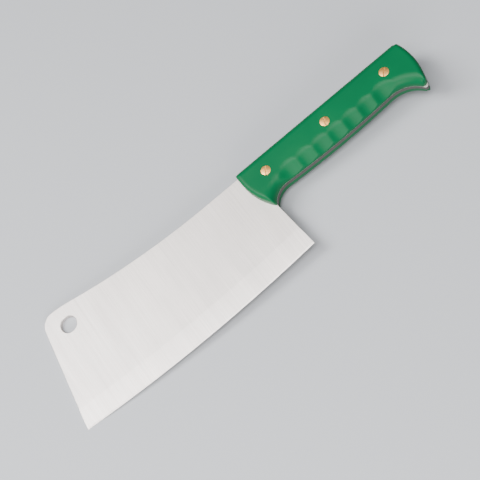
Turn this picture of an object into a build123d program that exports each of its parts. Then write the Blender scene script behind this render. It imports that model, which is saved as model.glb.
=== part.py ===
"""Butcher's cleaver: a full-tang steel blade between two handle scales, held by three two-piece slotted screws.

Every piece is drawn in one drawing frame and moved to the stored frame at the end. In the drawing frame X runs
from the tip of the cutting edge towards the butt, Y is the height above the spine line of the handle, and Z is
the distance from the middle plane of the blade. Lengths are in millimetres and angles in degrees.
"""
import os
from math import asin, cos, degrees, radians, sin, sqrt, tan

from build123d import *

# Blade
edge_length = 200.0  # tip to heel, straight across
blade_depth = 76.0  # spine line of the handle down to the tip and the heel
edge_sag = 4.0  # how far the cutting edge bellies out between tip and heel
blade_thickness = 3.5
front_lean = 8.4  # the front edge leans back from the tip
heel_lean = 4.3  # the heel edge leans forward from the heel
front_corner_radius = 10.5
spine_rise_start = 157.0  # where the straight spine starts to rise, from the tip
spine_sweep_radius = 596.0
spine_sweep_angle = 11.5  # how far the spine turns before the brow
brow_radius = 100.0  # convex top of the blade ahead of the sweep
blade_edge_break = 0.25

# Grind
grind_height = 16.0  # the sides start to thin this far above the cutting edge
grind_bulge = 0.2  # the thinned sides are slightly convex
bevel_height = 1.0
shoulder_thickness = 0.9  # where the grind meets the sharpening bevel
edge_flat = 0.1

# Hanging hole
hanging_hole_diameter = 12.6
hanging_hole_chamfer = 0.4
hanging_hole_back = 29.0  # from the tip
hanging_hole_drop = 2.5  # below the spine line of the handle

# Handle
handle_length = 146.5
handle_thickness = 21.0
handle_overlap = 13.4  # the scales start this far ahead of the heel
handle_depth = 29.0  # spine line down to the lowest point of the belly
belly_radius = 690.0
belly_low_point = 71.0  # from the front of the scales
spine_rounding = 5.0
belly_rounding = 7.0
end_rounding = 3.0
least_side_wall = 1.5  # of a scale's side, left square to the tang under the widest rounding
tang_edge_break = 0.2  # along the edges of a scale that lie on the tang

# Front end of the scales
front_end_straight = 8.0
front_end_radius = 47.0
front_flare_radius = 15.5
front_flare_centre = 24.4  # from the front of the scales
front_tip_radius = 1.0
front_top_radius = 1.5

# Butt
butt_radius = 53.0
butt_centre_drop = 17.0
hook_radius = 23.0
hook_centre = 27.9  # ahead of the butt
hook_tip_radius = 1.8
butt_top_radius = 4.5

# Finger scallops, on the front scale only
scallop_count = 7
scallop_pitch = 13.6
scallop_radius = 16.2
first_scallop = 32.8  # from the front of the scales
scallop_slope = 40.0  # the grooves fall from the face of the scale at this angle
scallop_reach = 1.5  # how far they run past the belly's rounding on to the flat face

# Two-piece handle screws
screw_names = ("front", "middle", "rear")
first_screw = 19.2  # from the front of the scales
last_screw = 22.0  # from the butt
screw_drop = 14.1  # below the spine line of the handle
screw_head_diameter = 7.2
screw_head_height = 4.5
sleeve_diameter = 4.8
stud_diameter = 3.0
stud_engagement = 8.5
stud_fit = 0.05  # radial, stud in sleeve
sleeve_clearance = 0.1  # radial, sleeve in the tang and the scales
head_clearance = 0.03  # radial, head in its counterbore
sleeve_end_gap = 1.0  # sleeve to the underside of the screw head
sleeve_bore_run_out = 1.5  # bore past the end of the stud
slot_width = 0.9
slot_depth = 0.6
screw_slot_angles = (59.0, 70.0, 50.0)  # from the length of the handle
nut_slot_angles = (115.0, 28.0, 82.0)

# Derived places
half_blade = blade_thickness / 2
half_handle = handle_thickness / 2
scale_thickness = half_handle - half_blade
handle_front = edge_length - handle_overlap
handle_end = handle_front + handle_length
screw_pitch = (handle_length - first_screw - last_screw) / (len(screw_names) - 1)
screw_places = [Pos(handle_front + first_screw + screw_pitch * i, -screw_drop) for i in range(len(screw_names))]
head_underside = half_handle - screw_head_height
edge_radius = (edge_length**2 / 4 + edge_sag**2) / (2 * edge_sag)
edge_centre = Vector(edge_length / 2, edge_radius - edge_sag - blade_depth)
belly_centre = Vector(handle_front + belly_low_point, belly_radius - handle_depth)
upward = (Align.CENTER, Align.CENTER, Align.MIN)
downward = (Align.CENTER, Align.CENTER, Align.MAX)


def arc_about(centre, start, end):
    """The shorter arc round centre from start to end."""
    middle = centre + ((start - centre) + (end - centre)).normalized() * (start - centre).length
    return ThreePointArc(start, middle, end)


def crossing(centre_a, radius_a, centre_b, radius_b, side):
    """Where two circles cross, left (side 1) or right (side -1) of the line from centre_a to centre_b."""
    gap = centre_b - centre_a
    along = (radius_a**2 - radius_b**2 + gap.length**2) / (2 * gap.length)
    aside = sqrt(radius_a**2 - along**2)
    ahead = gap.normalized()
    return centre_a + ahead * along + Vector(-ahead.Y, ahead.X) * aside * side


def centre_under_belly(radius, x):
    """Centre of a circle of this radius that touches the belly arc from below."""
    return Vector(x, belly_centre.Y - sqrt((belly_radius + radius) ** 2 - (x - belly_centre.X) ** 2))


def touch_point(centre, radius):
    """Where that circle touches the belly arc."""
    return centre + (belly_centre - centre).normalized() * radius


def facing(shape, side):
    """The shape as drawn for the front side (1), or its mirror image for the back (-1)."""
    if side > 0:
        return shape
    return mirror(shape, Plane.XY)


def flat_edges(shape, height):
    """The edges of a shape that lie level at this height."""
    return shape.edges().filter_by(lambda edge: abs(edge.center().Z - height) < 1e-6)


front_end_centre = Vector(handle_front + front_end_radius, -front_end_straight)
flare_centre = centre_under_belly(front_flare_radius, handle_front + front_flare_centre)
hook_middle = centre_under_belly(hook_radius, handle_end - hook_centre)
butt_centre = Vector(handle_end - butt_radius, -butt_centre_drop)
front_top = Vector(handle_front, 0)
front_tip = crossing(front_end_centre, front_end_radius, flare_centre, front_flare_radius, -1)
hook_tip = crossing(butt_centre, butt_radius, hook_middle, hook_radius, 1)
butt_top = Vector(butt_centre.X + sqrt(butt_radius**2 - butt_centre_drop**2), 0)


def sharp_handle_outline():
    """Side view of the handle with its four corners still sharp."""
    front_turn = Vector(handle_front, -front_end_straight)
    flare_end = touch_point(flare_centre, front_flare_radius)
    hook_start = touch_point(hook_middle, hook_radius)
    return make_face(
        Line(front_top, front_turn)
        + arc_about(front_end_centre, front_turn, front_tip)
        + arc_about(flare_centre, front_tip, flare_end)
        + arc_about(belly_centre, flare_end, hook_start)
        + arc_about(hook_middle, hook_start, hook_tip)
        + arc_about(butt_centre, hook_tip, butt_top)
        + Line(butt_top, front_top)
    )


def handle_outline():
    """Side view that the tang and both scales share, with its corners rounded."""
    outline = sharp_handle_outline()
    for corner, radius in (
        (front_top, front_top_radius),
        (front_tip, front_tip_radius),
        (hook_tip, hook_tip_radius),
        (butt_top, butt_top_radius),
    ):
        outline = fillet(outline.vertices().sort_by_distance(corner)[0], radius)
    return outline


def blade_outline():
    """Side view of the blade without its tang."""
    tip = Vector(0, -blade_depth)
    heel = Vector(edge_length, -blade_depth)
    heel_top = Vector(edge_length - blade_depth * tan(radians(heel_lean)), 0)
    sweep_start = Vector(spine_rise_start, 0)
    sweep_centre = Vector(spine_rise_start, spine_sweep_radius)
    outward = Vector(-sin(radians(spine_sweep_angle)), -cos(radians(spine_sweep_angle)))
    sweep_end = sweep_centre + outward * spine_sweep_radius
    brow_centre = sweep_end + outward * brow_radius
    lean = Vector(sin(radians(front_lean)), cos(radians(front_lean)))
    reach = (brow_centre - tip).dot(lean)
    aside = (brow_centre - tip - lean * reach).length
    front_corner = tip + lean * (reach + sqrt(brow_radius**2 - aside**2))
    outline = make_face(
        arc_about(edge_centre, tip, heel)
        + Line(heel, heel_top)
        + Line(heel_top, sweep_start)
        + arc_about(sweep_centre, sweep_start, sweep_end)
        + arc_about(brow_centre, sweep_end, front_corner)
        + Line(front_corner, tip)
    )
    return fillet(outline.vertices().sort_by_distance(front_corner)[0], front_corner_radius)


def grind_cutter():
    """What grinding takes off the front side: one section turned about the centre of the cutting edge's arc."""
    grind_top = Vector(edge_radius - grind_height, half_blade)
    shoulder = Vector(edge_radius - bevel_height, shoulder_thickness / 2)
    crown = (grind_top + shoulder) / 2 + Vector(0, grind_bulge)
    edge = Vector(edge_radius, edge_flat / 2)
    clear_of_edge = Vector(edge_radius + grind_height, edge.Y)
    clear_corner = Vector(clear_of_edge.X, blade_thickness)
    clear_of_face = Vector(grind_top.X, blade_thickness)
    section = make_face(
        ThreePointArc(grind_top, crown, shoulder)
        + Line(shoulder, edge)
        + Line(edge, clear_of_edge)
        + Line(clear_of_edge, clear_corner)
        + Line(clear_corner, clear_of_face)
        + Line(clear_of_face, grind_top)
    )
    towards_edge = Plane(origin=(0, 0, 0), x_dir=(0, -1, 0), z_dir=(1, 0, 0))
    past_the_ends = 2 * degrees(asin(edge_length / 2 / edge_radius))
    cutter = revolve(towards_edge * section, Axis.Z, past_the_ends * 2)
    return Pos(edge_centre) * Rot(0, 0, -past_the_ends) * cutter


def hanging_hole():
    """Through hole with a chamfer on both faces."""
    radius = hanging_hole_diameter / 2
    hole = Cylinder(radius, blade_thickness * 2)
    rim = Cone(radius, radius + hanging_hole_chamfer * 2, hanging_hole_chamfer * 2)
    for side in (1, -1):
        hole += facing(Pos(0, 0, half_blade) * rim, side)
    return Pos(hanging_hole_back, -hanging_hole_drop, 0) * hole


def blade():
    """Blade and tang from one sheet, ground on both sides, holed and with its edges broken."""
    body = extrude(blade_outline(), half_blade, both=True)
    rim = flat_edges(body, half_blade) + flat_edges(body, -half_blade)
    body = chamfer([edge for edge in rim if edge.center().Y > grind_height - blade_depth], blade_edge_break)
    for side in (1, -1):
        body -= facing(grind_cutter(), side)
    body += extrude(handle_outline(), half_blade, both=True)
    body -= hanging_hole()
    for place in screw_places:
        body -= place * Cylinder(sleeve_diameter / 2 + sleeve_clearance, blade_thickness * 2)
    return body


def rounded_blank():
    """Blank of the front scale: belly, spine and ends rounded over towards its face, tang edges broken."""
    blank = Pos(0, 0, half_blade) * extrude(sharp_handle_outline(), scale_thickness)
    spine = []
    ends = []
    belly = []
    for edge in flat_edges(blank, half_handle):
        middle = edge.center()
        if edge.geom_type == GeomType.LINE:
            group = spine if abs(middle.Y) < 1e-6 else ends
        else:
            group = ends if round(edge.radius, 6) in (front_end_radius, butt_radius) else belly
        group.append(middle)
    widest = scale_thickness - least_side_wall
    for middles, radius in ((belly, belly_rounding), (spine, spine_rounding), (ends, end_rounding)):
        edges = [blank.edges().sort_by_distance(middle)[0] for middle in middles]
        blank = fillet(edges, min(radius, widest))
    blank &= extrude(handle_outline(), half_handle)
    return chamfer(flat_edges(blank, half_blade), tang_edge_break)


def scallop_grooves():
    """Shallow cylinders side by side along the belly, each falling from the scale's face towards the tang."""
    slope = radians(scallop_slope)
    fall = Vector(0, -cos(slope), -sin(slope))
    outward = Vector(0, -sin(slope), cos(slope))
    grooves = []
    for i in range(scallop_count):
        x = handle_front + first_scallop + scallop_pitch * i
        belly = belly_centre.Y - sqrt(belly_radius**2 - (x - belly_centre.X) ** 2)
        top_of_groove = Vector(x, belly + belly_rounding + scallop_reach, half_handle)
        lying = Plane(origin=top_of_groove + outward * scallop_radius, x_dir=(1, 0, 0), z_dir=fall)
        grooves.append(lying * Cylinder(scallop_radius, handle_depth * 2))
    return grooves


def drilled(body):
    """A scale drilled for the sleeves and counterbored for the heads."""
    sleeve_hole = Cylinder(sleeve_diameter / 2 + sleeve_clearance, handle_thickness, align=upward)
    counterbore = Cylinder(screw_head_diameter / 2 + head_clearance, screw_head_height * 2, align=upward)
    for place in screw_places:
        body -= place * sleeve_hole
        body -= place * Pos(0, 0, head_underside) * counterbore
    return body


def front_scale():
    """Moulded handle half with finger scallops along its belly."""
    body = rounded_blank()
    for groove in scallop_grooves():
        body -= groove
    return drilled(body)


def back_scale():
    """Plain moulded handle half on the other side of the tang."""
    return facing(drilled(rounded_blank()), -1)


def slotted_head(slot_angle):
    """Round head flush with the front face, with the shallow remains of its slot."""
    head = Cylinder(screw_head_diameter / 2, screw_head_height, align=downward)
    slot = Rot(0, 0, slot_angle) * Box(screw_head_diameter * 2, slot_width, slot_depth * 2)
    return Pos(0, 0, half_handle) * (head - slot)


def handle_screw(slot_angle):
    """Male half of a handle screw: head in the front scale and a stud that reaches through the tang."""
    stud = Cylinder(stud_diameter / 2, sleeve_end_gap + stud_engagement, align=downward)
    return slotted_head(slot_angle) + Pos(0, 0, head_underside) * stud


def sleeve_nut(slot_angle):
    """Female half: head in the back scale and a bored sleeve that stops short of the screw's head."""
    sleeve_end = head_underside - sleeve_end_gap
    sleeve = Cylinder(sleeve_diameter / 2, head_underside + sleeve_end, align=downward)
    bore = Cylinder(stud_diameter / 2 + stud_fit, stud_engagement + sleeve_bore_run_out, align=downward)
    return facing(slotted_head(slot_angle), -1) + Pos(0, 0, sleeve_end) * sleeve - Pos(0, 0, sleeve_end) * bore


# The stored frame: the cleaver lies on its back scale, with the origin under the middle of its outline.
pieces = {"blade": blade(), "front_scale": front_scale(), "back_scale": back_scale()}
for name, place, screw_angle, nut_angle in zip(screw_names, screw_places, screw_slot_angles, nut_slot_angles):
    pieces[f"screw_{name}"] = place * handle_screw(screw_angle)
    pieces[f"nut_{name}"] = place * sleeve_nut(nut_angle)
middle = pieces["blade"].bounding_box().center()
os.makedirs("parts", exist_ok=True)
for node, piece in pieces.items():
    export_step(Pos(-middle.X, -middle.Y, half_handle) * piece, f"parts/{node}.step")
    print(node, "valid", piece.is_valid, "volume", round(piece.volume, 1), "solids", len(piece.solids()))
print("tip of the edge at", round(-middle.X, 3), round(-blade_depth - middle.Y, 3))
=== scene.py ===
from math import atan2, cos, pi, radians, sin, sqrt, tan

import bpy
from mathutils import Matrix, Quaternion, Vector


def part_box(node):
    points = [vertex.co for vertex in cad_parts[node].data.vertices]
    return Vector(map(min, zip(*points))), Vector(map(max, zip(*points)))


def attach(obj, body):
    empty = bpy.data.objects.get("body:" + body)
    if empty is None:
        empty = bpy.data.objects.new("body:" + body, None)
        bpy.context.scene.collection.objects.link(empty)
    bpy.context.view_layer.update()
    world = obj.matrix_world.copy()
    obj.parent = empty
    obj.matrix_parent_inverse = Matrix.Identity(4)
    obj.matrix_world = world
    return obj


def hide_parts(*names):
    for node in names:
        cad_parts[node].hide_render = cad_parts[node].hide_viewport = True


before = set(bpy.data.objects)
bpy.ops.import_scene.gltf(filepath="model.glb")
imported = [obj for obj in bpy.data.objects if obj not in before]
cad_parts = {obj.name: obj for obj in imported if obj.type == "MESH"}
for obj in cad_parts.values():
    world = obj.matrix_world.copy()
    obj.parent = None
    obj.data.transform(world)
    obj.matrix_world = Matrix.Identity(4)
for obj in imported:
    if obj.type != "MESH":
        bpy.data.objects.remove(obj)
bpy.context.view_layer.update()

# ---- Blade and tang ------------------------------------------------------------------------------
# One plate of martensitic stainless knife steel, 3.5 mm thick, cut with its tang in one piece and hardened.
# Both sides are thinned towards the edge, then the whole plate is belt ground across, from spine to edge,
# which leaves it silky, with fine upright lines. The designed solid is shown as it is, with this surface.
MM = 0.001  # a millimetre in metres


def linear(hex_code):
    """sRGB colour like D9D5D1 as the linear colour that a shader takes."""
    shares = [int(hex_code[i:i + 2], 16) / 255 for i in (0, 2, 4)]
    return (*[c / 12.92 if c <= 0.04045 else ((c + 0.055) / 1.055) ** 2.4 for c in shares], 1.0)


def add_node(material, kind, links=None, **settings):
    """Adds a node. Each of links is an output joined to that input, or its value; settings are attributes.

    A Mix of colours takes its share at input 0 and its two colours at inputs 6 and 7, and gives output 2.
    """
    node = material.node_tree.nodes.new("ShaderNode" + kind)
    for name, value in settings.items():
        setattr(node, name, value)
    for socket, value in (links or {}).items():
        if isinstance(value, bpy.types.NodeSocket):
            material.node_tree.links.new(value, node.inputs[socket])
        else:
            node.inputs[socket].default_value = value
    return node


def new_material(name):
    """An empty material with only its output."""
    material = bpy.data.materials.new(name)
    material.use_nodes = True
    material.node_tree.nodes.clear()
    return material


def finish_material(material, links):
    """Adds the shader with these inputs and joins it to the output."""
    shader = add_node(material, "BsdfPrincipled", links)
    add_node(material, "OutputMaterial", {"Surface": shader.outputs["BSDF"]})
    return material


def ground_steel():
    """Stainless knife steel, belt ground across: a silky light grey with upright lines and soft bands.

    The tang's edge is left as cut. Between the scales it is painted dark grey as painted shade.
    """
    line_spacing = 0.5 * MM  # the grit's lines are nearer 0.05 mm, drawn coarser so that they show
    line_length = 70 * MM
    band_width = 9 * MM
    band_length = 8 * band_width
    cloud_size = 35 * MM
    scratch_spacing = 1.4 * MM
    scratch_lean = radians(17)
    line_relief = 0.02 * MM
    edge_steepness = 0.5  # a face counts as edge where its normal rises less than this
    tang_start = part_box("front_scale")[0].x
    material = new_material("belt_ground_stainless_steel")
    place = add_node(material, "TexCoord").outputs["Object"]
    upright = add_node(material, "Mapping", {
        "Vector": place, "Scale": (1 / line_spacing, 1 / line_length, 1 / line_length)})
    lines = add_node(material, "TexNoise", {
        "Vector": upright.outputs["Vector"], "Scale": 1.0, "Detail": 4.0, "Roughness": 0.65})
    banded = add_node(material, "Mapping", {
        "Vector": place, "Scale": (1 / band_width, 1 / band_length, 1 / band_length)})
    bands = add_node(material, "TexNoise", {
        "Vector": banded.outputs["Vector"], "Scale": 1.0, "Detail": 2.0})
    clouds = add_node(material, "TexNoise", {"Vector": place, "Scale": 1 / cloud_size, "Detail": 3.0})
    slanted = add_node(material, "Mapping", {
        "Vector": place, "Rotation": (0, 0, scratch_lean),
        "Scale": (1 / scratch_spacing, 1 / line_length, 1 / line_length)})
    scratches = add_node(material, "TexNoise", {
        "Vector": slanted.outputs["Vector"], "Scale": 1.0, "Detail": 5.0, "Roughness": 0.8})
    tones = add_node(material, "Math", {
        0: bands.outputs["Fac"], 1: clouds.outputs["Fac"]}, operation="ADD")
    shade = add_node(material, "MapRange", {
        "Value": tones.outputs["Value"], "From Min": 0.6, "From Max": 1.4})
    silk = add_node(material, "Mix", {
        0: shade.outputs["Result"], 6: linear("E4DEDA"), 7: linear("FAF3EE")}, data_type="RGBA")
    streaked = add_node(material, "Mix", {
        0: lines.outputs["Fac"], 6: linear("C6BFBB"), 7: silk.outputs[2]}, data_type="RGBA")
    spot = add_node(material, "SeparateXYZ", {"Vector": place})
    normal = add_node(material, "NewGeometry").outputs["Normal"]
    facing = add_node(material, "SeparateXYZ", {"Vector": normal})
    upward = add_node(material, "Math", {0: facing.outputs["Z"]}, operation="ABSOLUTE")
    edge = add_node(material, "Math", {
        0: upward.outputs["Value"], 1: edge_steepness}, operation="LESS_THAN")
    behind = add_node(material, "Math", {
        0: spot.outputs["X"], 1: tang_start}, operation="GREATER_THAN")
    tang_edge_painted_shade = add_node(material, "Math", {
        0: edge.outputs["Value"], 1: behind.outputs["Value"]}, operation="MULTIPLY")
    # Painted shade: the tang's edge faces between the scales take a dark grey instead of the ground steel's
    # colour.
    colour = add_node(material, "Mix", {
        0: tang_edge_painted_shade.outputs["Value"], 6: streaked.outputs[2], 7: linear("64605E")}, data_type="RGBA")
    rough = add_node(material, "MapRange", {
        "Value": scratches.outputs["Fac"], "From Min": 0.3, "From Max": 0.7, "To Min": 0.5, "To Max": 0.6})
    relief = add_node(material, "Math", {
        0: lines.outputs["Fac"], 1: scratches.outputs["Fac"]}, operation="ADD")
    bump = add_node(material, "Bump", {
        "Height": relief.outputs["Value"], "Strength": 0.5, "Distance": line_relief})
    return finish_material(material, {
        "Base Color": colour.outputs[2], "Metallic": 1.0, "Roughness": rough.outputs["Result"],
        "Normal": bump.outputs["Normal"]})


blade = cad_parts["blade"]
blade.data.materials.clear()
blade.data.materials.append(ground_steel())

# ---- Handle scales -------------------------------------------------------------------------------
# Two injection moulded halves of dyed acetal, tough and slightly waxy, screwed to the tang. Their roundings
# run into each other round the whole outline, and seven shallow finger scallops are moulded into the front
# half only. Each has a flat inner face and is bored for the screws.
low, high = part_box("front_scale")
tang_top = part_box("blade")[1].z
middle_plane = (high.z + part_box("back_scale")[0].z) / 2
half_handle = high.z - middle_plane
half_tang = tang_top - middle_plane
handle_length = high.x - low.x

belly_rounding = 7 * MM
spine_rounding = 5 * MM
end_rounding = 3 * MM
tang_edge_break = 0.2 * MM
least_rise = 2 * tang_edge_break  # from the tang to the outside, which leaves the broken edge its room

handle_depth = 29 * MM
belly_radius = 690 * MM
belly_low_point = 71 * MM
front_straight = 8 * MM
front_radius = 47 * MM
flare_radius = 15.5 * MM
flare_x = 24.4 * MM
hook_radius = 23 * MM
hook_x = handle_length - 27.9 * MM
butt_radius = 53 * MM
butt_drop = 17 * MM

scallop_count = 7
scallop_pitch = 13.6 * MM
scallop_radius = 16.2 * MM
first_scallop = 32.8 * MM
scallop_slope = radians(40)
scallop_top = belly_rounding + 1.5 * MM  # above the belly, where each scallop runs out on the flat face
scallop_softness = 2.0 * MM

corner_rounds = {
    "spine_front": 1.5 * MM,
    "belly_front": 1.0 * MM,
    # Found by trial, to reach as low as the designed scale does. The tang's tip shows past it.
    "belly_butt": 2.9 * MM,
    "spine_butt": 4.5 * MM,
}

# The arcs' centres, measured from the top front corner of the scales.
belly_centre = Vector((belly_low_point, belly_radius - handle_depth))


def below_belly_arc(x, radius):
    """Centre at x of an arc that runs tangent into the belly's long arc from below."""
    rise = sqrt((belly_radius + radius) ** 2 - (x - belly_low_point) ** 2)
    return Vector((x, belly_centre.y - rise))


flare_centre = below_belly_arc(flare_x, flare_radius)
hook_centre = below_belly_arc(hook_x, hook_radius)
front_centre = Vector((front_radius, -front_straight))
butt_centre = Vector((handle_length - butt_radius, -butt_drop))


def crossing(centre_a, radius_a, centre_b, radius_b, side):
    """Where two circles cross, left (1) or right (-1) of the line from the first centre to the second."""
    gap = centre_b - centre_a
    along = (radius_a ** 2 - radius_b ** 2 + gap.length_squared) / (2 * gap.length)
    aside = sqrt(radius_a ** 2 - along ** 2)
    ahead = gap.normalized()
    return centre_a + ahead * along + Vector((-ahead.y, ahead.x)) * aside * side


front_tip = crossing(front_centre, front_radius, flare_centre, flare_radius, -1)
hook_tip = crossing(butt_centre, butt_radius, hook_centre, hook_radius, 1)
butt_top_x = butt_centre.x + sqrt(butt_radius ** 2 - butt_drop ** 2)


def belly_height(x):
    """Height of the belly line at x: flare, long shallow arc, hook."""
    to_flare, to_hook = flare_centre - belly_centre, hook_centre - belly_centre
    flare_join = to_flare * belly_radius / (belly_radius + flare_radius) + belly_centre
    hook_join = to_hook * belly_radius / (belly_radius + hook_radius) + belly_centre
    if x < flare_join.x:
        return flare_centre.y + sqrt(max(flare_radius ** 2 - (x - flare_centre.x) ** 2, 0))
    if x > hook_join.x:
        return hook_centre.y + sqrt(max(hook_radius ** 2 - (x - hook_centre.x) ** 2, 0))
    return belly_centre.y - sqrt(belly_radius ** 2 - (x - belly_centre.x) ** 2)


def from_belly(point):
    """Distance inwards from the belly line, and the direction inwards."""
    lean = atan2(point.x - belly_centre.x, belly_centre.y - point.y)
    for centre, radius, side in ((flare_centre, flare_radius, -1), (hook_centre, hook_radius, 1)):
        edge = atan2(centre.x - belly_centre.x, belly_centre.y - centre.y)
        if (lean - edge) * side > 0:
            return (point - centre).length - radius, (point - centre).normalized()
    return belly_radius - (point - belly_centre).length, (belly_centre - point).normalized()


def from_spine(point):
    """The same from the straight spine."""
    return -point.y, Vector((0, -1))


def from_front(point):
    """The same from the front end, straight at the top and then an arc."""
    if point.y > -front_straight or point.x > front_centre.x:
        return point.x, Vector((1, 0))
    return front_radius - (point - front_centre).length, (front_centre - point).normalized()


def from_butt(point):
    """The same from the butt's arc."""
    if point.x < butt_centre.x:
        return handle_length - point.x, Vector((-1, 0))
    return butt_radius - (point - butt_centre).length, (butt_centre - point).normalized()


def drop(distance, radius):
    """How far a quarter round of this radius has fallen at a distance inwards from the edge."""
    short = min(max(radius - distance, 0), radius)
    return radius - sqrt(radius ** 2 - short ** 2)


def soft_least(a, b, softness):
    """The smaller of two heights, with the crease between them rounded."""
    share = max(softness - abs(a - b), 0) / softness
    return min(a, b) - share ** 2 * softness / 4


def face_height(point, scalloped):
    """Height of the scale's outside above the middle plane, roundings and scallops included."""
    falls = (
        drop(from_belly(point)[0], belly_rounding),
        drop(from_spine(point)[0], spine_rounding),
        drop(from_front(point)[0], end_rounding),
        drop(from_butt(point)[0], end_rounding))
    height = half_handle - sqrt(sum(fall ** 2 for fall in falls))
    for i in range(scallop_count if scalloped else 0):
        x = first_scallop + scallop_pitch * i
        aside = min(abs(point.x - x), scallop_radius)
        rise = scallop_radius - sqrt(scallop_radius ** 2 - aside ** 2)
        below_top = belly_height(x) + scallop_top - point.y
        groove = half_handle + rise / cos(scallop_slope) - tan(scallop_slope) * below_top
        height = soft_least(height, groove, scallop_softness)
    return max(height, half_tang + least_rise)


def rounded_corner(point):
    """Draws a point near a corner of the side view in towards the centre of that corner's round.

    The sides are taken as straight near the corner, which puts the hook's round up to 0.2 mm off.
    """
    for side_a, side_b, radius in (
            (from_spine, from_front, corner_rounds["spine_front"]),
            (from_belly, from_front, corner_rounds["belly_front"]),
            (from_belly, from_butt, corner_rounds["belly_butt"]),
            (from_spine, from_butt, corner_rounds["spine_butt"])):
        (a, inward_a), (b, inward_b) = side_a(point), side_b(point)
        skew = inward_a.dot(inward_b)
        share_a = (radius - a) - skew * (radius - b)
        share_b = (radius - b) - skew * (radius - a)
        if share_a > 0 and share_b > 0:
            to_centre = (inward_a * share_a + inward_b * share_b) / (1 - skew ** 2)
            return point + to_centre * (1 - max(radius - a, radius - b) / to_centre.length)
    return point


def round_steps(radius, count):
    """Distances inwards that divide a quarter round of this radius evenly."""
    return [radius * (1 - cos(pi / 2 * i / count)) for i in range(count + 1)]


def moulded_scale(name, scalloped):
    """A grid fitted to the outline, drawn down to the tang and closed, with its tang edge broken."""
    end_facets = 7
    belly_facets = 14
    spine_facets = 9
    flank_step = 0.6 * MM  # rows stay this close above the belly's rounding, where the scallops run out
    flank_rows = 10
    middle_columns = 220
    middle_rows = 12
    belly_length = (hook_tip - front_tip).length
    end_steps = round_steps(end_rounding, end_facets)
    flank_steps = [belly_rounding + flank_step * i for i in range(1, flank_rows + 1)]
    belly_steps = round_steps(belly_rounding, belly_facets) + flank_steps
    spine_steps = round_steps(spine_rounding, spine_facets)
    columns = len(end_steps) * 2 + middle_columns - 1
    rows = len(belly_steps) + len(spine_steps) + middle_rows - 1

    def column_share(i, length):
        """How far along the scale column i lies, closer together over the rounded ends."""
        if i < len(end_steps):
            return end_steps[i] / length
        if i >= columns - len(end_steps):
            return 1 - end_steps[columns - 1 - i] / length
        share = (i - len(end_steps) + 1) / middle_columns
        return (end_rounding + (length - 2 * end_rounding) * share) / length

    def row_share(j, height):
        """How far up the scale row j lies, closer together over the two long roundings."""
        if j < len(belly_steps):
            return belly_steps[j] / height
        if j >= rows - len(spine_steps):
            return 1 - spine_steps[rows - 1 - j] / height
        share = (j - len(belly_steps) + 1) / middle_rows
        return (belly_steps[-1] + (height - belly_steps[-1] - spine_rounding) * share) / height

    def grid_point(i, j):
        """Blends the four sides of the outline, so that rows follow the belly and the spine."""
        s = column_share(i, belly_length)
        lower_x = front_tip.x + (hook_tip.x - front_tip.x) * s
        lower = Vector((lower_x, belly_height(lower_x)))
        upper = Vector((butt_top_x * s, 0))
        t = row_share(j, (upper - lower).length)
        left_y = front_tip.y * (1 - t)
        left_x = 0
        if left_y <= -front_straight:
            left_x = front_centre.x - sqrt(front_radius ** 2 - (left_y - front_centre.y) ** 2)
        right_y = hook_tip.y * (1 - t)
        right_x = butt_centre.x + sqrt(butt_radius ** 2 - (right_y - butt_centre.y) ** 2)
        sides = Vector((left_x, left_y)) * (1 - s) + Vector((right_x, right_y)) * s
        corners = (front_tip * (1 - s) + hook_tip * s) * (1 - t) + Vector((butt_top_x * s, 0)) * t
        return lower * (1 - t) + upper * t + sides - corners

    bpy.ops.object.select_all(action="DESELECT")
    bpy.ops.mesh.primitive_grid_add(x_subdivisions=columns - 1, y_subdivisions=rows - 1, size=1)
    piece = bpy.context.object
    piece.name = name
    for vertex in piece.data.vertices:
        i, j = vertex.index % columns, vertex.index // columns
        point = grid_point(i, j)
        height = face_height(point, scalloped)
        point = rounded_corner(point)
        vertex.co = (low.x + point.x, high.y + point.y, middle_plane + height)
    bpy.ops.object.mode_set(mode="EDIT")
    bpy.ops.mesh.select_mode(type="EDGE")
    bpy.ops.mesh.select_all(action="DESELECT")
    bpy.ops.mesh.select_non_manifold()
    bpy.ops.mesh.extrude_region_move()
    bpy.ops.transform.resize(value=(1, 1, 0), center_override=(0, 0, tang_top))
    bpy.ops.mesh.edge_face_add()
    bpy.ops.mesh.bevel(offset=tang_edge_break, segments=1)
    bpy.ops.mesh.select_all(action="SELECT")
    bpy.ops.mesh.normals_make_consistent(inside=False)
    bpy.ops.object.mode_set(mode="OBJECT")
    return piece


def lone(piece):
    """Makes this the only selected object, and the active one."""
    bpy.ops.object.select_all(action="DESELECT")
    piece.select_set(True)
    bpy.context.view_layer.objects.active = piece


def select_level_faces(piece, height):
    """In edit mode, selects only the faces that lie level at this height."""
    height_tolerance = 0.001 * MM
    level_normal = 0.99
    bpy.ops.mesh.select_mode(type="FACE")
    bpy.ops.mesh.select_all(action="DESELECT")
    bpy.ops.object.mode_set(mode="OBJECT")
    for face in piece.data.polygons:
        at_height = abs(face.center.z - height) < height_tolerance
        face.select = at_height and abs(face.normal.z) > level_normal
    bpy.ops.object.mode_set(mode="EDIT")


def cut(piece, cutter):
    """Takes the cutter's shape away from the piece, and the cutter with it."""
    lone(piece)
    modifier = piece.modifiers.new("cut", "BOOLEAN")
    modifier.operation = "DIFFERENCE"
    modifier.object = cutter
    bpy.ops.object.modifier_apply(modifier=modifier.name)
    bpy.data.objects.remove(cutter)


screw_names = ("front", "middle", "rear")
head_radius = 3.6 * MM
head_height = 4.5 * MM
head_clearance = 0.03 * MM
sleeve_bore_radius = 2.5 * MM


def screw_centre(name):
    """Middle of a screw's designed box, which lies on the screw's axis."""
    corner_a, corner_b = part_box("screw_" + name)
    return (corner_a + corner_b) / 2


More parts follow.
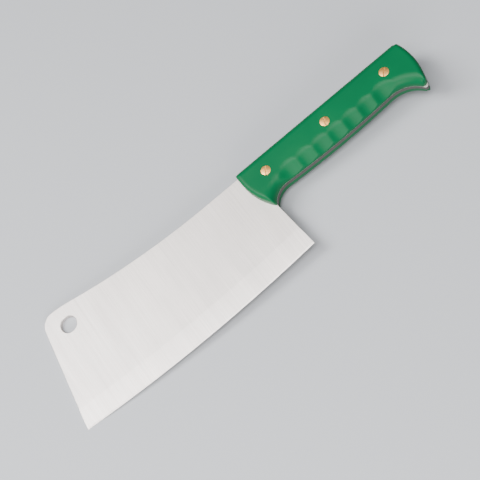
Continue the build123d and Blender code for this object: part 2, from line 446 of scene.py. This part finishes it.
def bored(scale):
    """Drills the sleeves' bores through a scale and widens each one for a head."""
    overshoot = 1 * MM  # past the outside, so that no skin is left over the hole
    step = high.z - head_height
    widening = (head_radius + head_clearance) / sleeve_bore_radius
    for name in screw_names:
        centre = screw_centre(name)
        bpy.ops.object.select_all(action="DESELECT")
        bpy.ops.mesh.primitive_cylinder_add(
            vertices=64, radius=sleeve_bore_radius, depth=step - middle_plane,
            location=(centre.x, centre.y, (middle_plane + step) / 2))
        plug = bpy.context.object
        bpy.ops.object.transform_apply(location=True)
        bpy.ops.object.mode_set(mode="EDIT")
        select_level_faces(plug, step)
        bpy.ops.mesh.extrude_region_move()
        bpy.ops.transform.resize(value=(widening, widening, 1), center_override=(centre.x, centre.y, step))
        bpy.ops.mesh.extrude_region_move(TRANSFORM_OT_translate={"value": (0, 0, head_height + overshoot)})
        bpy.ops.object.mode_set(mode="OBJECT")
        cut(scale, plug)


front_scale = moulded_scale("front_scale_moulding", True)
back_scale = moulded_scale("back_scale_moulding", False)
bored(front_scale)
bored(back_scale)
lone(back_scale)
bpy.ops.object.mode_set(mode="EDIT")
bpy.ops.mesh.select_all(action="SELECT")
bpy.ops.transform.resize(value=(1, 1, -1), center_override=(0, 0, middle_plane))
bpy.ops.mesh.normals_make_consistent(inside=False)
bpy.ops.object.mode_set(mode="OBJECT")


def moulded_plastic():
    """Dyed acetal with the satin skin of its mould: an even deep green, duller where hands rub it."""
    skin_grain = 0.9 * MM  # nearer 0.1 mm on such a skin, drawn coarser so that it shows
    flow_size = 28 * MM
    rub_spacing = 0.7 * MM  # rubbing leaves marks about 0.1 mm apart, drawn coarser so that they show
    rub_length = 30 * rub_spacing
    skin_relief = 0.02 * MM
    material = new_material("moulded_green_acetal")
    place = add_node(material, "TexCoord").outputs["Object"]
    flow = add_node(material, "TexNoise", {"Vector": place, "Scale": 1 / flow_size, "Detail": 3.0})
    colour = add_node(material, "Mix", {
        0: flow.outputs["Fac"], 6: linear("004B2B"), 7: linear("005832")}, data_type="RGBA")
    skin = add_node(material, "TexNoise", {"Vector": place, "Scale": 1 / skin_grain, "Detail": 2.0})
    lengthwise = add_node(material, "Mapping", {
        "Vector": place, "Scale": (1 / rub_length, 1 / rub_spacing, 1 / rub_spacing)})
    rubs = add_node(material, "TexNoise", {
        "Vector": lengthwise.outputs["Vector"], "Scale": 1.0, "Detail": 4.0, "Roughness": 0.7})
    rough = add_node(material, "MapRange", {
        "Value": rubs.outputs["Fac"], "From Min": 0.3, "From Max": 0.7, "To Min": 0.42, "To Max": 0.5})
    relief = add_node(material, "Math", {
        0: skin.outputs["Fac"], 1: rubs.outputs["Fac"]}, operation="ADD")
    bump = add_node(material, "Bump", {
        "Height": relief.outputs["Value"], "Strength": 0.12, "Distance": skin_relief})
    # The specular level is well below acetal's own 0.5, so that sheen doesn't wash out the green.
    return finish_material(material, {
        "Base Color": colour.outputs[2], "Roughness": rough.outputs["Result"], "IOR": 1.48,
        "Specular IOR Level": 0.15, "Normal": bump.outputs["Normal"]})


plastic = moulded_plastic()
for piece, node in ((front_scale, "front_scale"), (back_scale, "back_scale")):
    lone(piece)
    bpy.ops.object.shade_smooth_by_angle(angle=radians(35))
    piece.data.materials.append(plastic)
    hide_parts(node)
    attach(piece, "root")

# ---- Handle screws and sleeve nuts ---------------------------------------------------------------
# Three two-piece screws of free-cutting brass, turned on a lathe. Each slotted screw goes through the
# front scale and the tang into a slotted sleeve nut in the back scale. Once tight, their heads are ground
# flush with the plastic, which leaves shallow remains of the slots and fine lines along the handle.
slot_width = 0.9 * MM
slot_depth = 0.4 * MM
rim_break = 0.06 * MM
stud_radius = 1.5 * MM
stud_length = 9.5 * MM
sleeve_radius = 2.4 * MM
sleeve_length = 11 * MM
sleeve_bore = 1.55 * MM
sleeve_bore_depth = 10 * MM
screw_slots = {"front": radians(59), "middle": radians(70), "rear": radians(50)}
nut_slots = {"front": radians(115), "middle": radians(28), "rear": radians(82)}


def ground_brass():
    """Free-cutting brass, ground flush: warm pale gold, faintly dulled, with lines along the handle."""
    line_spacing = 0.35 * MM  # the grit's lines are nearer 0.05 mm, drawn coarser so that they show
    line_length = 40 * line_spacing
    line_lean = radians(8)
    line_relief = 0.06 * MM
    tarnish_size = 2.5 * MM
    material = new_material("ground_brass")
    place = add_node(material, "TexCoord").outputs["Object"]
    lengthwise = add_node(material, "Mapping", {
        "Vector": place, "Rotation": (0, 0, line_lean),
        "Scale": (1 / line_length, 1 / line_spacing, 1 / line_spacing)})
    lines = add_node(material, "TexNoise", {
        "Vector": lengthwise.outputs["Vector"], "Scale": 1.0, "Detail": 4.0, "Roughness": 0.7})
    tarnish = add_node(material, "TexNoise", {"Vector": place, "Scale": 1 / tarnish_size, "Detail": 3.0})
    worn = add_node(material, "Mix", {
        0: tarnish.outputs["Fac"], 6: linear("FFC872"), 7: linear("FFDE94")}, data_type="RGBA")
    colour = add_node(material, "Mix", {
        0: lines.outputs["Fac"], 6: linear("E6984A"), 7: worn.outputs[2]}, data_type="RGBA")
    rough = add_node(material, "MapRange", {
        "Value": lines.outputs["Fac"], "From Min": 0.3, "From Max": 0.7, "To Min": 0.4, "To Max": 0.52})
    bump = add_node(material, "Bump", {
        "Height": lines.outputs["Fac"], "Strength": 0.6, "Distance": line_relief})
    return finish_material(material, {
        "Base Color": colour.outputs[2], "Metallic": 1.0, "Roughness": rough.outputs["Result"],
        "Normal": bump.outputs["Normal"]})


def turned_fastener(name, centre, shank_radius, shank_length, slot_angle):
    """A head with its rim broken and its slot cut, and a plain shank drawn out of its underside."""
    underside = high.z - head_height
    bpy.ops.object.select_all(action="DESELECT")
    bpy.ops.mesh.primitive_cylinder_add(
        vertices=96, radius=head_radius, depth=head_height,
        location=(centre.x, centre.y, high.z - head_height / 2))
    piece = bpy.context.object
    piece.name = name
    bpy.ops.object.transform_apply(location=True)
    bpy.ops.object.mode_set(mode="EDIT")
    select_level_faces(piece, high.z)
    bpy.ops.mesh.select_mode(type="EDGE")
    bpy.ops.mesh.bevel(offset=rim_break, segments=2)
    select_level_faces(piece, underside)
    bpy.ops.mesh.inset(thickness=head_radius - shank_radius)
    bpy.ops.mesh.extrude_region_move(TRANSFORM_OT_translate={"value": (0, 0, -shank_length)})
    bpy.ops.object.mode_set(mode="OBJECT")
    bpy.ops.object.select_all(action="DESELECT")
    bpy.ops.mesh.primitive_cube_add(size=1)
    slot = bpy.context.object
    slot.scale = (4 * head_radius, slot_width, 2 * slot_depth)
    slot.rotation_euler.z = slot_angle
    slot.location = (centre.x, centre.y, high.z)
    bpy.ops.object.transform_apply(location=True, rotation=True, scale=True)
    cut(piece, slot)
    return piece


def handle_screw(name):
    """The half that goes in from the front."""
    return turned_fastener(
        "handle_screw_" + name, screw_centre(name), stud_radius, stud_length, screw_slots[name])


def sleeve_nut(name):
    """The half that goes in from the back, its sleeve bored for the stud."""
    piece = turned_fastener(
        "sleeve_nut_" + name, screw_centre(name), sleeve_radius, sleeve_length, nut_slots[name])
    bpy.ops.object.mode_set(mode="EDIT")
    select_level_faces(piece, high.z - head_height - sleeve_length)
    bpy.ops.mesh.inset(thickness=sleeve_radius - sleeve_bore)
    bpy.ops.mesh.extrude_region_move(TRANSFORM_OT_translate={"value": (0, 0, sleeve_bore_depth)})
    bpy.ops.mesh.select_all(action="SELECT")
    bpy.ops.transform.resize(value=(1, 1, -1), center_override=(0, 0, middle_plane))
    bpy.ops.mesh.normals_make_consistent(inside=False)
    bpy.ops.object.mode_set(mode="OBJECT")
    return piece


brass = ground_brass()
for name in screw_names:
    for piece, node in ((handle_screw(name), "screw_" + name), (sleeve_nut(name), "nut_" + name)):
        lone(piece)
        bpy.ops.object.shade_smooth_by_angle(angle=radians(30))
        piece.data.materials.append(brass)
        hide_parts(node)
        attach(piece, "root")

# ---- Studio --------------------------------------------------------------------------------------
# A plain pale floor on which the cleaver lies as it is let go: the tip of its edge and the front end of the
# back scale touch it, so the handle's end stands a little off. Two soft boxes light it from above and a
# third, low on the near side, lights the handle's belly.
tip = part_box("blade")[0]
touch_x = low.x + end_rounding
rest_slope = atan2(middle_plane, touch_x - tip.x)
bpy.ops.object.select_all(action="DESELECT")
bpy.ops.mesh.primitive_plane_add(size=6, location=(touch_x, 0, 0), rotation=(0, rest_slope, 0))
floor = bpy.context.object
floor.name = "floor"
bpy.ops.object.transform_apply(location=True, rotation=True, scale=True)
floor_material = new_material("matt_pale_floor")
floor.data.materials.append(finish_material(floor_material, {
    "Base Color": linear("A2A4A8"), "Roughness": 0.6}))

world = bpy.data.worlds.new("studio")
bpy.context.scene.world = world
world.use_nodes = True
world.node_tree.nodes["Background"].inputs["Color"].default_value = linear("B8BABC")
world.node_tree.nodes["Background"].inputs["Strength"].default_value = 0.12


def soft_box(name, place, aim, width, height, power):
    """A rectangular soft light at place, turned to aim."""
    lamp = bpy.data.lights.new(name, "AREA")
    lamp.shape = "RECTANGLE"
    lamp.size, lamp.size_y, lamp.energy = width, height, power
    box = bpy.data.objects.new(name, lamp)
    bpy.context.scene.collection.objects.link(box)
    box.location = place
    box.rotation_mode = "QUATERNION"
    box.rotation_quaternion = (Vector(place) - Vector(aim)).to_track_quat("Z", "Y")


soft_box("key_box", place=(-0.1, -0.45, 1.5), aim=(0, 0, 0), width=1.4, height=0.7, power=38)
soft_box("blade_box", place=(-0.75, 0.5, 1.3), aim=(-0.1, 0, 0), width=0.7, height=1.0, power=40)
soft_box("near_box", place=(-0.4, -1.3, 0.6), aim=(0, 0, 0), width=1.4, height=0.7, power=30)

camera = bpy.data.cameras.new("camera")
camera.lens = 97.5
camera.sensor_width = 36
view_azimuth = radians(6.782)
view_elevation = radians(60.829)
view_roll = radians(-45.649)
view_distance = 897.08 * MM
aim = Vector((-5.04 * MM, -4.61 * MM, middle_plane))
backwards = Vector((
    sin(view_azimuth) * cos(view_elevation),
    -cos(view_azimuth) * cos(view_elevation),
    sin(view_elevation)))
camera_object = bpy.data.objects.new("camera", camera)
bpy.context.scene.collection.objects.link(camera_object)
camera_object.location = aim + backwards * view_distance
camera_object.rotation_mode = "QUATERNION"
camera_object.rotation_quaternion = backwards.to_track_quat("Z", "Y") @ Quaternion((0, 0, 1), view_roll)
bpy.context.scene.camera = camera_object
